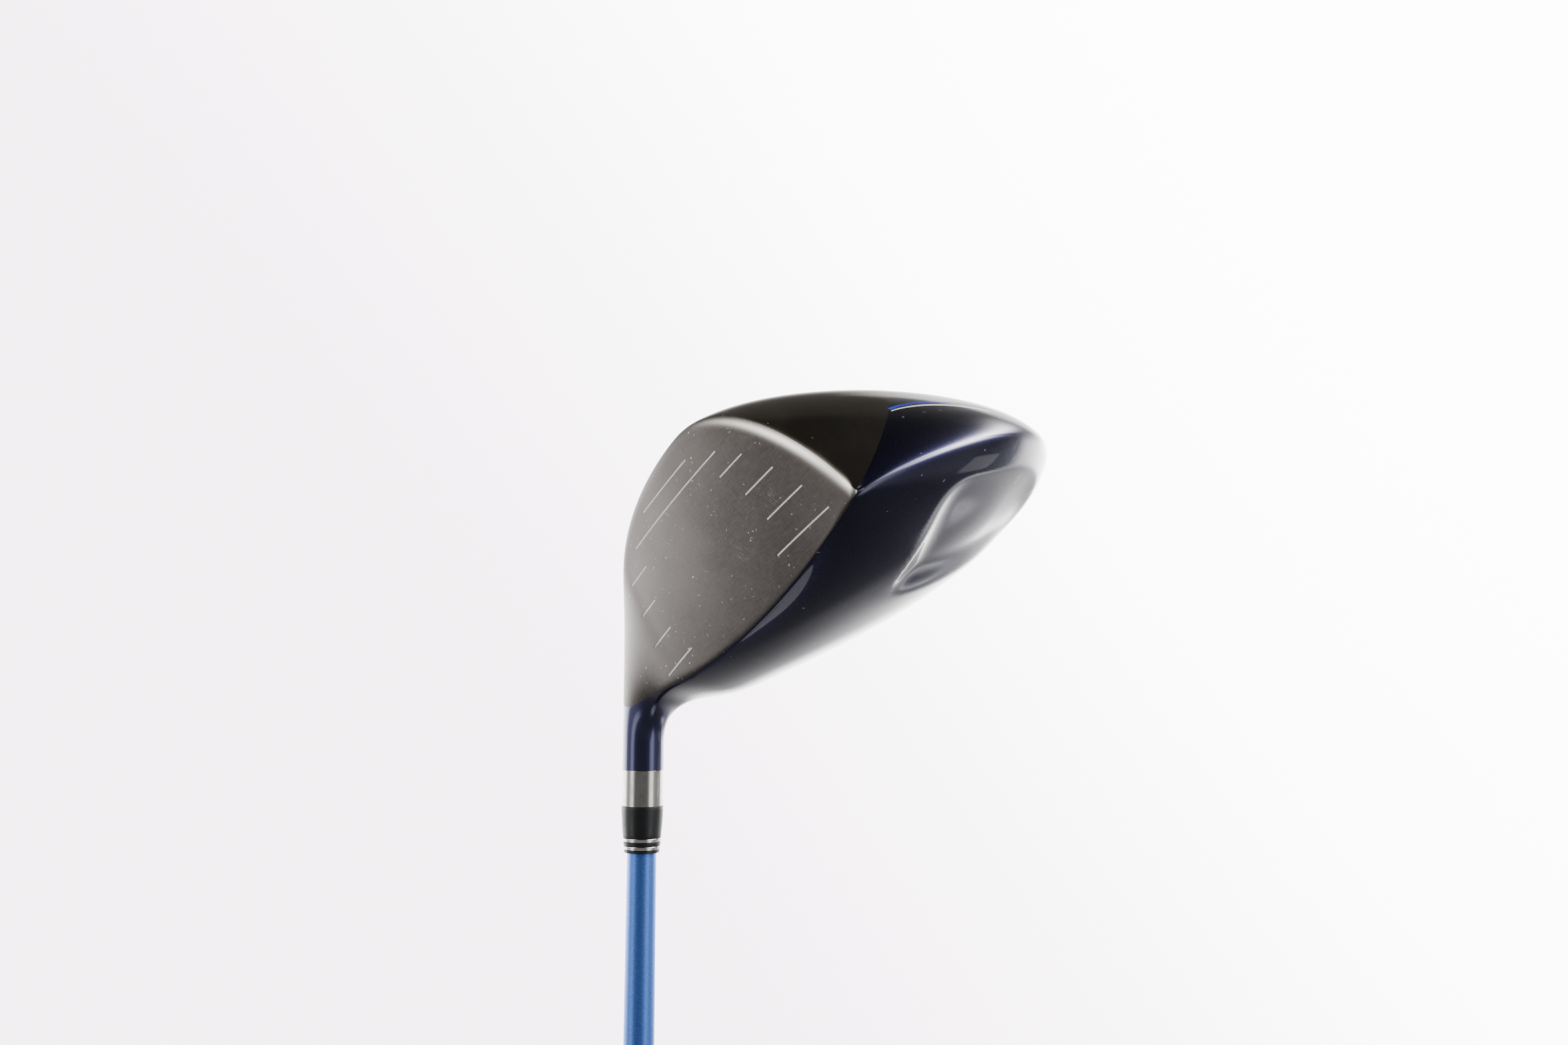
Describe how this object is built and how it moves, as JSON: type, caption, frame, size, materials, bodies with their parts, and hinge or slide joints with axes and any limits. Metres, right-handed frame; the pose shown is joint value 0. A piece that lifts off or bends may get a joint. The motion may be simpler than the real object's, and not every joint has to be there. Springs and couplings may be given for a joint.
{
  "type": "golf driver",
  "caption": "Right-handed golf driver: hollow metal wood head with scored face, ferrule, tapered tubular shaft and rubber grip.",
  "frame": {"origin": "centre of the grip's flat butt end, on the shaft axis", "axes": "+Z along the shaft axis from the butt up to the head, as the club stands in a bag or on its butt; +Y from the face to the back of the head; +X towards the toe and crown side of the head"},
  "size_m": [0.1205, 0.1107, 1.1748],
  "materials": {
    "bare_titanium": "brushed, unpainted face metal",
    "polished_titanium": "polished, dark reflective bare metal",
    "navy_paint": "glossy navy metallic paint under clear coat",
    "hosel_metal": "navy paint outside, bare inside",
    "polished_collar": "polished bare metal",
    "ferrule_black": "glossy black",
    "ferrule_silver": "bright silver trim",
    "shaft_blue": "light metallic blue under clear coat, on graphite",
    "epoxy": "cured adhesive",
    "brass_plug": "plain",
    "inner_metal": "as cast",
    "soft_glue": "tacky",
    "grip_rubber": "matte moulded rubber",
    "cap_rubber": "matte moulded rubber",
    "tape": "paper masking tape"
  },
  "bodies": {
    "root": {"face_plate": "bare_titanium", "crown_shell": "navy_paint", "sole_band": "polished_titanium", "skirt_shell": "navy_paint", "hosel_neck": "navy_paint", "hosel_tube": "hosel_metal", "hosel_collar": "polished_collar", "ferrule_body": "ferrule_black", "ferrule_ring_low": "ferrule_silver", "ferrule_spacer": "ferrule_black", "ferrule_ring_high": "ferrule_silver", "ferrule_tail": "ferrule_black", "shaft": "shaft_blue", "epoxy_bond": "epoxy", "tip_plug": "brass_plug", "weight_pad": "inner_metal", "glue_patch": "soft_glue", "sole_rib_heel": "inner_metal", "sole_rib_toe": "inner_metal", "crown_rib": "inner_metal", "grip": "grip_rubber", "grip_tape": "tape", "grip_cap": "cap_rubber"}
  },
  "joints": []
}
